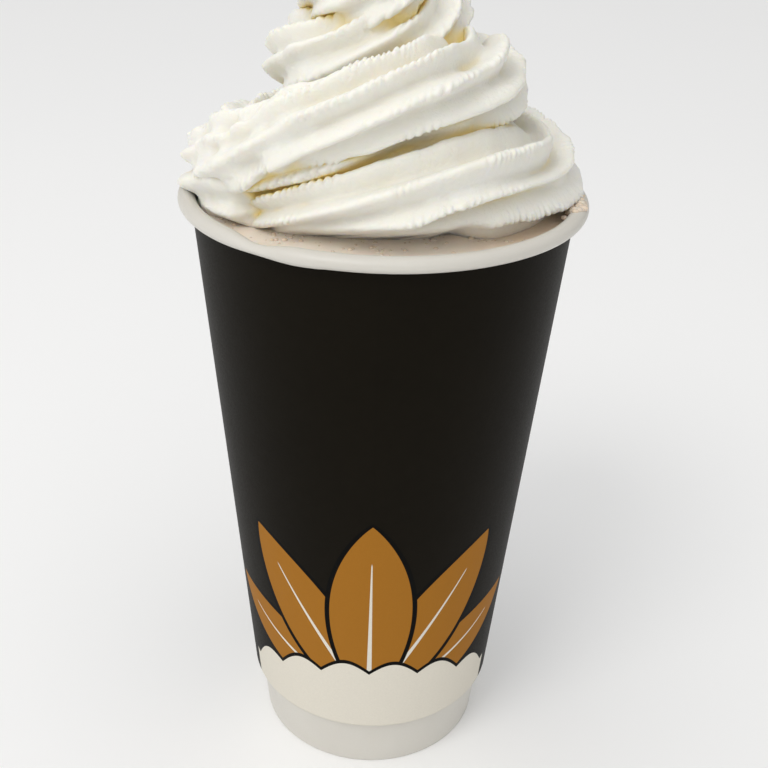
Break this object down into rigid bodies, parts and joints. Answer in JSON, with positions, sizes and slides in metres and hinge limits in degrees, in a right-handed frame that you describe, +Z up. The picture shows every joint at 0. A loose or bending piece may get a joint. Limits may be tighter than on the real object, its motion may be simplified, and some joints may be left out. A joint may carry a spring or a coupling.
{
  "type": "hot chocolate",
  "caption": "Tall double-walled paper cup filled with hot chocolate, topped with a piped swirl of whipped cream.",
  "frame": {"origin": "centre of the ring that the cup stands on", "axes": "+Z up along the cup's axis, -Y towards the printed front, +X to the right as seen from the front"},
  "size_m": [0.09, 0.09, 0.21],
  "materials": {
    "white_paper": "satin",
    "board": "matte",
    "dark_paper": "satin",
    "chocolate": "satin",
    "cream": "matte"
  },
  "bodies": {
    "root": {"cup_wall": "white_paper", "cup_bottom": "board", "sleeve": "dark_paper", "drink": "chocolate", "cream": "cream"}
  },
  "joints": []
}
